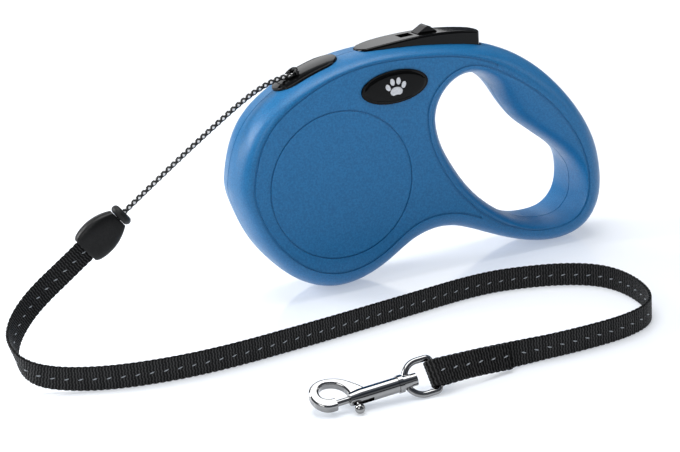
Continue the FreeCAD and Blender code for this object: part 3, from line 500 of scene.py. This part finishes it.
CORD_EXIT = Vector((-0.0510, 0.0, 0.0914))
CONNECTOR_START = Vector((-0.1317, 0.0, 0.0466))
CORD_ROUTE = [CORD_EXIT, Vector((-0.06066, 0.0, 0.0940)), Vector((-0.0940, 0.0, 0.0736)), CONNECTOR_START]
CORD_STEP = 0.25 * MM
LEAD_ROUTE = [Vector((-0.0248, -0.0055, 0.0758)), Vector((-0.0452, 0.0, 0.08984)), CORD_EXIT]
LEAD_STEP = 0.4 * MM

BRAID_RADIUS = 1.05 * MM
BRAID_PITCH = 5.4 * MM
CARRIERS = 2
STRAND_MIDDLE = 0.82 * BRAID_RADIUS
STRAND_HALF_WIDTH = 0.42 * BRAID_RADIUS
STRAND_HALF_THICKNESS = 0.18 * BRAID_RADIUS
CROSSING_LIFT = 0.09 * BRAID_RADIUS
CORE_SIDES = 24
CORE_REACH = 0.68
CORE_BULGE = 0.32

REEL_CENTRE = Vector((-0.0415, 0.0, 0.047))
WOUND_LAYERS = 6
WOUND_FIRST_RADIUS_MM = 18.3
WOUND_LAYER_RISE_MM = 2.45
WOUND_TURNS = 2.85
WOUND_STEPS = 44
WOUND_FROM_MM = -9.1
WOUND_ACROSS_MM = 6.95
WOUND_RADIUS = 1.2 * MM
WOUND_UV_STEP = 3.5 * MM


def add_strand(parts, frames, spacing, sign, carrier):
    """One dark strand winding one way (sign 1) or the other (-1), in and out of the strands it crosses."""
    turn = 2 * math.pi / BRAID_PITCH
    rings = []
    for i, (point, ahead, side, third) in enumerate(frames):
        along = i * spacing
        angle = sign * turn * along + 2 * math.pi * carrier / CARRIERS
        lift = sign * CROSSING_LIFT * math.cos(turn * CARRIERS * along)
        out = side * math.cos(angle) + third * math.sin(angle)
        round_way = third * math.cos(angle) - side * math.sin(angle)
        strand_ahead = (ahead + round_way * (sign * turn * STRAND_MIDDLE)).normalized()
        wide = out.cross(strand_ahead).normalized()
        rings.append(oval_ring(point + out * (STRAND_MIDDLE + lift), wide, out,
                               STRAND_HALF_WIDTH, STRAND_HALF_THICKNESS))
    parts.tube(rings, 0, spacing)


def add_core(parts, frames, spacing):
    """The pale core, which bulges out between the strands."""
    turn = 2 * math.pi / BRAID_PITCH
    rings = []
    for i, (point, _, side, third) in enumerate(frames):
        ring = []
        for j in range(CORE_SIDES):
            angle = 2 * math.pi * j / CORE_SIDES
            first = CARRIERS * (angle - turn * i * spacing)
            second = CARRIERS * (angle + turn * i * spacing)
            bulge = 0.25 * (1 - math.cos(first)) * (1 - math.cos(second))
            reach = BRAID_RADIUS * (CORE_REACH + CORE_BULGE * bulge)
            ring.append(point + side * (reach * math.cos(angle)) + third * (reach * math.sin(angle)))
        rings.append(ring)
    parts.tube(rings, 1, spacing)


def braided_piece(name, node_name, route, step):
    points, spacing, length = even_line(route, step)
    frames = carried_frames(points, ACROSS_REEL)
    parts = MeshParts()
    for sign in (1, -1):
        for carrier in range(CARRIERS):
            add_strand(parts, frames, spacing, sign, carrier)
    add_core(parts, frames, spacing)
    piece = parts.piece(name, [YARN_DARK, YARN_PALE])
    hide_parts(node_name)
    return piece, points, length


def make_lead():
    """The braid goes on inside the housing, from the outlet down to the reel."""
    lead = braided_piece("leash_cord_inside", "cord_lead", LEAD_ROUTE, LEAD_STEP)[0]
    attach(lead, "housing")


def make_winding():
    """Layers of cord on the hub, each laid across the reel and back."""
    rings = []
    for layer in range(WOUND_LAYERS):
        radius = (WOUND_FIRST_RADIUS_MM + WOUND_LAYER_RISE_MM * layer) * MM
        for step in range(int(WOUND_TURNS * WOUND_STEPS) + 1):
            share = step / (WOUND_TURNS * WOUND_STEPS)
            across = share if layer % 2 == 0 else 1.0 - share
            angle = 2 * math.pi * (WOUND_TURNS * (layer + share))
            out = Vector((math.cos(angle), 0, math.sin(angle)))
            sideways = ACROSS_REEL * ((WOUND_FROM_MM + WOUND_ACROSS_MM * across) * MM)
            rings.append(oval_ring(REEL_CENTRE + out * radius + sideways, out, ACROSS_REEL,
                                   WOUND_RADIUS, WOUND_RADIUS))
    parts = MeshParts()
    parts.tube(rings, 0, WOUND_UV_STEP)
    winding = parts.piece("wound_cord", [YARN_DARK])
    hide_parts("cord_winding")
    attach(winding, "reel")


# ---------------------------------------------------------------- badge

BADGE_CENTRE = Vector((-0.0156, -0.0157, 0.0840))
BADGE_TILT = math.radians(3.0)
BADGE_LONG = Vector((math.cos(BADGE_TILT), 0, math.sin(BADGE_TILT)))
BADGE_HIGH = Vector((-math.sin(BADGE_TILT), 0, math.cos(BADGE_TILT)))
BADGE_HALF_LENGTH = 14.8 * MM
BADGE_HALF_HEIGHT = 6.8 * MM
BADGE_RISE = 0.75 * MM
BADGE_SIDES = 72
DOME_SHARE = 0.92
DOME_FLATNESS = 0.75
DOME_BASE_MM = 0.2
DOME_FIRST_SHARE = 0.9
DOME_SHARE_STEP = 0.06
DOME_LEVELS = 15

# Share of the way from the centre to the edge, and how far the rim stands out there, in millimetres.
BADGE_RIM = [(1.0, -1.3), (1.0, -0.1), (0.985, 0.12), (0.955, 0.20), (0.935, 0.10), (0.915, 0.22)]

# Centre, half sizes and lean of the pad and of the toes above it, in millimetres and degrees.
PAW_PAD = (0.0, -1.75, 2.7, 1.9, 0.0)
PAW_PAD_NOTCH = 0.35
PAW_TOES = [(-3.5, 0.5, 0.95, 1.45, 24.0), (-1.35, 2.4, 0.95, 1.45, 8.0),
            (1.35, 2.4, 0.95, 1.45, -8.0), (3.5, 0.5, 0.95, 1.45, -24.0)]
# Share of the pad's size, and how far it stands out of the dome there, in millimetres.
PAW_LEVELS = [(1.0, -0.1), (1.0, 0.22), (0.93, 0.34), (0.75, 0.40), (0.45, 0.42), (0.15, 0.43)]
PAW_SIDES = 32


def dome_rise(share):
    """How far the badge's dome stands out at a share of the way from its centre to its edge."""
    return BADGE_RISE * math.sqrt(max(0.0, 1.0 - (share / DOME_SHARE) ** 4)) * DOME_FLATNESS


def badge_point(along, up, lift):
    return BADGE_CENTRE + BADGE_LONG * along + BADGE_HIGH * up + Vector((0, -lift, 0))


def make_badge():
    """Domed oval badge with a sunk rim line; make_paw adds the raised paw mark."""
    levels = [(share, rise * MM) for share, rise in BADGE_RIM]
    for i in range(DOME_LEVELS):
        share = DOME_FIRST_SHARE - DOME_SHARE_STEP * i
        levels.append((share, dome_rise(share) + DOME_BASE_MM * MM))
    rows = []
    for share, lift in levels:
        row = []
        for i in range(BADGE_SIDES):
            angle = 2 * math.pi * i / BADGE_SIDES
            row.append(badge_point(BADGE_HALF_LENGTH * share * math.cos(angle),
                                   BADGE_HALF_HEIGHT * share * math.sin(angle), lift))
        rows.append(row)
    parts = MeshParts()
    parts.tube(rows)
    badge = parts.piece("badge_dome", [BADGE])
    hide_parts("oval_badge")
    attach(badge, "housing")


def paw_patch(parts, centre_x, centre_z, half_x, half_z, lean, notch=0.0):
    """One rounded pad of the paw, domed on top of the badge."""
    turn = math.radians(lean)
    rows = []
    for size, rise in PAW_LEVELS:
        row = []
        for i in range(PAW_SIDES):
            angle = 2 * math.pi * i / PAW_SIDES
            low = max(0.0, -math.sin(angle)) ** 2
            squeeze = 1.0 - notch * low * abs(math.cos(angle - math.pi / 2)) ** 6
            a = half_x * size * math.cos(angle)
            b = half_z * size * math.sin(angle) * squeeze
            x = (centre_x + a * math.cos(turn) - b * math.sin(turn)) * MM
            z = (centre_z + a * math.sin(turn) + b * math.cos(turn)) * MM
            share = math.hypot(x / BADGE_HALF_LENGTH, z / BADGE_HALF_HEIGHT)
            row.append(badge_point(x, z, dome_rise(share) + (DOME_BASE_MM + rise) * MM))
        rows.append(row)
    parts.tube(rows)


def make_paw():
    parts = MeshParts()
    paw_patch(parts, *PAW_PAD, PAW_PAD_NOTCH)
    for toe in PAW_TOES:
        paw_patch(parts, *toe)
    paw = parts.piece("badge_paw", [PALE])
    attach(paw, "housing")


# ---------------------------------------------------------------- woven strap

STRAP_WIDTH = 9.6 * MM
STRAP_THICKNESS = 1.4 * MM
FLOOR_HEIGHT = 4.9 * MM
CONNECTOR_AXIS = Vector((-14.3, 0, -10.3)).normalized()
CONNECTOR_WIDTH_AXIS = Vector((-10.3, 0, 14.3)).normalized()
RING_LEAN = Vector((0, 0.64, 0.77))
SNAP_ORIGIN = Vector((-0.0522, -0.1174, 0.0064))
SNAP_AXIS = Vector((-38.0, 1.1, -2.8)).normalized()
RING_NORMAL = SNAP_AXIS.cross(RING_LEAN).normalized()
RING_SIDE = RING_NORMAL.cross(SNAP_AXIS)


def ring_point(x, z):
    """A place round the ring's bar, x millimetres along the snap's axis and z square to the ring."""
    return SNAP_ORIGIN + SNAP_AXIS * (x * MM) + RING_NORMAL * (z * MM)


STRAP_ROUTE = [
    CONNECTOR_START + CONNECTOR_AXIS * (10.5 * MM), CONNECTOR_START + CONNECTOR_AXIS * (27.0 * MM),
    Vector((-0.1705, -0.0075, 0.0225)), Vector((-0.1805, -0.0190, 0.0170)),
    Vector((-0.1845, -0.0320, 0.0135)), Vector((-0.1805, -0.0425, 0.0080)),
    Vector((-0.1680, -0.0485, FLOOR_HEIGHT)), Vector((-0.1480, -0.0575, FLOOR_HEIGHT)),
    Vector((-0.1180, -0.0615, FLOOR_HEIGHT)), Vector((-0.0800, -0.0580, FLOOR_HEIGHT)),
    Vector((-0.0360, -0.0522, FLOOR_HEIGHT)), Vector((0.0020, -0.0468, FLOOR_HEIGHT)),
    Vector((0.0220, -0.0506, FLOOR_HEIGHT)), Vector((0.0400, -0.0580, FLOOR_HEIGHT)),
    Vector((0.0506, -0.0700, FLOOR_HEIGHT)), Vector((0.0516, -0.0900, FLOOR_HEIGHT)),
    Vector((0.0450, -0.1075, FLOOR_HEIGHT)), Vector((0.0300, -0.1150, FLOOR_HEIGHT)),
    Vector((0.0060, -0.1164, FLOOR_HEIGHT)), Vector((-0.0220, -0.1148, FLOOR_HEIGHT)),
    ring_point(-9.21, 0.75), ring_point(-0.31, 2.08),
]
STRAP_STEP = 0.25 * MM
# Shares of the strap's length where it has turned upright and where it starts to lean to the ring.
CONNECTOR_TWIST_FROM = 0.04
CONNECTOR_TWIST_TO = 0.22
RING_TWIST_FROM = 0.9

WARP_COLUMNS = 8
COLUMN_STEPS = 3
PICK_PITCH = 1.15 * MM
PICK_LEAN = 0.28
WEAVE_HEIGHT = 0.42 * MM
RIB_FLOOR = 0.15
FURROW_FLOOR = 0.7
# Rib height above which a face takes the lighter nylon copy, a painted highlight.
PAINTED_HIGHLIGHT_LEVEL = 0.62
EDGE_PITCH = 2.5 * MM
EDGE_SCALLOP = 0.22 * MM
EDGE_MARGIN = 0.1 * MM
EDGE_CORD = 0.25 * MM

DASH_PITCH = 5.2 * MM
DASH_LENGTH = 1.8 * MM
DASH_STEPS = 8
DASH_DRIFT = 0.55 * MM
DASH_SINK = 0.06 * MM
DASH_ARCH = 0.13 * MM
DASH_HALF_WIDTH = 0.24 * MM
DASH_HALF_THICKNESS = 0.15 * MM

HIDDEN_IN_CONNECTOR = 7.5 * MM
UNDER_FOLD = 31.5 * MM
BACK_STITCH_END = 3 * MM
BEND_RADIUS_MM = 2.1
BEND_DEGREES = 197.0
BEND_STEPS = 12
BEND_LENGTH = BEND_RADIUS_MM * MM * math.radians(BEND_DEGREES)
FOLD_BACK_MM = range(12, 33, 3)
FOLD_LIFT = STRAP_THICKNESS + 0.06 * MM
FOLD_STITCH_START = 8.5 * MM
FOLD_STITCH_END = 0.4 * MM


def mixed(first, second, share):
    return (first * (1.0 - share) + second * share).normalized()


def strap_width_direction(share):
    if share < CONNECTOR_TWIST_TO:
        turned = max(0.0, share - CONNECTOR_TWIST_FROM) / (CONNECTOR_TWIST_TO - CONNECTOR_TWIST_FROM)
        return mixed(CONNECTOR_WIDTH_AXIS, UP, turned)
    if share > RING_TWIST_FROM:
        return mixed(UP, RING_LEAN, (share - RING_TWIST_FROM) / (1.0 - RING_TWIST_FROM))
    return UP


def band_stations(points, width_at):
    """(point, across, out) along a band; out is the side that faces the camera."""
    stations = []
    for i, point in enumerate(points):
        ahead = tangent_at(points, i)
        across = width_at(i / (len(points) - 1))
        across = (across - ahead * across.dot(ahead)).normalized()
        stations.append((point, across, across.cross(ahead)))
    return stations


def rib_share(column, inside, along):
    """How far up a rib a place is, from 0 to 1; the ribs lean the other way in every second column."""
    lean = inside if column % 2 == 0 else 1.0 - inside
    return 0.5 - 0.5 * math.cos(2 * math.pi * (along / PICK_PITCH + PICK_LEAN * lean))


def weave_height(inside, rib):
    """Thread height: ribs across the band, with a shallow furrow between the warp columns."""
    furrow = math.sin(math.pi * inside) ** 0.5 if 0.0 < inside < 1.0 else 0.0
    return WEAVE_HEIGHT * (RIB_FLOOR + (1 - RIB_FLOOR) * rib) * (FURROW_FLOOR + (1 - FURROW_FLOOR) * furrow)


def woven_ring(point, across, out, along):
    """The band's outline at one station, front edge to edge and back, with each point's rib share."""
    half_width = STRAP_WIDTH / 2 - EDGE_MARGIN
    base = STRAP_THICKNESS / 2 - WEAVE_HEIGHT
    scallop = EDGE_SCALLOP * abs(math.sin(math.pi * along / EDGE_PITCH))
    front = []
    back = []
    for step in range(WARP_COLUMNS * COLUMN_STEPS + 1):
        column = min(step // COLUMN_STEPS, WARP_COLUMNS - 1)
        inside = (step - column * COLUMN_STEPS) / COLUMN_STEPS
        place = -1.0 + 2.0 * (column + inside) / WARP_COLUMNS
        sideways = across * ((half_width - EDGE_CORD + scallop) * place)
        front_rib = rib_share(column, inside, along)
        back_rib = rib_share(column, inside, along + PICK_PITCH / 2)
        front.append((point + sideways + out * (base + weave_height(inside, front_rib)), front_rib))
        back.append((point + sideways - out * (base + weave_height(inside, back_rib)), back_rib))
    edge = across * (half_width + scallop)
    outline = front + [(point + edge, 0.0)] + back[::-1] + [(point - edge, 0.0)]
    return [place for place, _ in outline], [rib for _, rib in outline]


def woven_band(name, stations, spacing):
    """A flat woven band: ribbed warp columns on both faces and a scalloped corded edge; faces high on the ribs
    take the lighter nylon copy as a painted highlight.
    """
    rings = []
    ribs = []
    for row, (point, across, out) in enumerate(stations):
        ring, rib_row = woven_ring(point, across, out, row * spacing)
        rings.append(ring)
        ribs.append(rib_row)
    parts = MeshParts()
    parts.tube(rings, 0, spacing)
    count = len(rings[0])
    # Faces high on a rib get slot 1, the lighter nylon copy: a painted highlight on the rib crests.
    for row in range(len(rings) - 1):
        for column in range(count):
            beside = (column + 1) % count
            level = (ribs[row][column] + ribs[row][beside] + ribs[row + 1][column] + ribs[row + 1][beside]) / 4
            parts.slots[row * count + column] = 1 if level > PAINTED_HIGHLIGHT_LEVEL else 0
    return parts.piece(name, [WEBBING, WEBBING_PAINTED_HIGHLIGHT])


def stitch_rings(stations, spacing, start, side):
    """One stitch that rises out of the band and dips back into it."""
    rings = []
    for step in range(DASH_STEPS + 1):
        share = step / DASH_STEPS
        place = start + DASH_LENGTH * share
        index = min(int(place / spacing), len(stations) - 2)
        point, across, out = stations[index]
        point = point.lerp(stations[index + 1][0], place / spacing - index)
        arch = math.sin(math.pi * min(max(share, 0.02), 0.98))
        swell = arch ** 0.5
        lift = STRAP_THICKNESS / 2 - DASH_SINK + DASH_ARCH * arch
        centre = point + across * ((share - 0.5) * DASH_DRIFT) + out * (side * lift)
        rings.append(oval_ring(centre, across * -side, out * side,
                               DASH_HALF_WIDTH * swell, DASH_HALF_THICKNESS * swell))
    return rings


def stitch_row(name, stations, spacing, sides, first, last):
    """Short raised stitches of bright thread down the middle of the band."""
    parts = MeshParts()
    along = first
    while along + DASH_LENGTH < last:
        for side in sides:
            parts.tube(stitch_rings(stations, spacing, along, side), 0, spacing)
        along += DASH_PITCH
    piece = parts.piece(name, [REFLECTIVE])
    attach(piece, "leash_end")
    return piece


def fold_route(stations, spacing):
    """Round the bar of the ring, then back along the front of the strap."""
    route = []
    for step in range(BEND_STEPS + 1):
        angle = math.radians(BEND_DEGREES / 2 - step * BEND_DEGREES / BEND_STEPS)
        route.append(ring_point(BEND_RADIUS_MM * math.cos(angle), BEND_RADIUS_MM * math.sin(angle)))
    for back_along in FOLD_BACK_MM:
        point, _, out = stations[-1 - round(back_along * MM / spacing)]
        route.append(point + out * FOLD_LIFT)
    return route


def make_fold(strap_stations, strap_spacing):
    points, spacing, length = even_line(fold_route(strap_stations, strap_spacing), STRAP_STEP)

    def width_at(share):
        past_bend = share * length - BEND_LENGTH
        return RING_SIDE if past_bend < 0 else mixed(RING_SIDE, UP, 0.5 * past_bend / length)

    stations = band_stations(points, width_at)
    fold = woven_band("strap_folded_end", stations, spacing)
    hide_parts("strap_fold")
    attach(fold, "leash_end")
    thread = stitch_row("strap_thread_fold", stations, spacing, (-1, 1), FOLD_STITCH_START,
                        length - FOLD_STITCH_END)
    return [fold, thread]


def make_strap():
    """The strap, the line it follows, its length, and its stitches and folded end."""
    points, spacing, length = even_line(STRAP_ROUTE, STRAP_STEP)
    stations = band_stations(points, strap_width_direction)
    strap = woven_band("leash_strap", stations, spacing)
    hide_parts("strap")
    front = stitch_row("strap_thread_front", stations, spacing, (1,), HIDDEN_IN_CONNECTOR,
                       length - UNDER_FOLD)
    back = stitch_row("strap_thread_back", stations, spacing, (-1,), HIDDEN_IN_CONNECTOR,
                      length - BACK_STITCH_END)
    return strap, points, length, [front, back] + make_fold(stations, spacing)


# ---------------------------------------------------------------- springs

SPRING_STEPS = 24
SPRING_UV_STEP = 0.5 * MM
RETURN_SPRING_FOOT = Vector((0.020, 0.0, 0.08505))
BOLT_SPRING_FOOT = SNAP_ORIGIN + SNAP_AXIS * (19.2 * MM)


def make_spring(name, node_name, body, foot, axis, radius, wire, turns, height):
    """Round-wire coil standing on its foot."""
    side = axis.orthogonal().normalized()
    third = axis.cross(side)
    steps = SPRING_STEPS * turns
    rings = []
    for i in range(steps + 1):
        angle = 2 * math.pi * i / SPRING_STEPS
        out = side * math.cos(angle) + third * math.sin(angle)
        centre = foot + out * radius + axis * (wire + height * i / steps)
        rings.append(oval_ring(centre, axis, out, wire, wire))
    parts = MeshParts()
    parts.tube(rings, 0, SPRING_UV_STEP)
    spring = parts.piece(name, [STEEL])
    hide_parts(node_name)
    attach(spring, body)
    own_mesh(spring)
    return spring


# ---------------------------------------------------------------- pieces

make_spring("return_spring", "button_spring", "housing",
            foot=RETURN_SPRING_FOOT, axis=UP, radius=1.9 * MM, wire=0.4 * MM,
            turns=3, height=5.5 * MM)
snap_spring = make_spring("snap_bolt_spring", "bolt_spring", "snap",
                          foot=BOLT_SPRING_FOOT, axis=SNAP_AXIS,
                          radius=0.85 * MM, wire=0.2 * MM, turns=5, height=4.9 * MM)
make_badge()
make_paw()
make_lead()
make_winding()
cord_piece, cord_points, cord_length = braided_piece("leash_cord", "cord", CORD_ROUTE, CORD_STEP)
strap_piece, strap_points, strap_length, strap_extras = make_strap()
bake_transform(cord_piece)
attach(strap_piece, "leash_end")
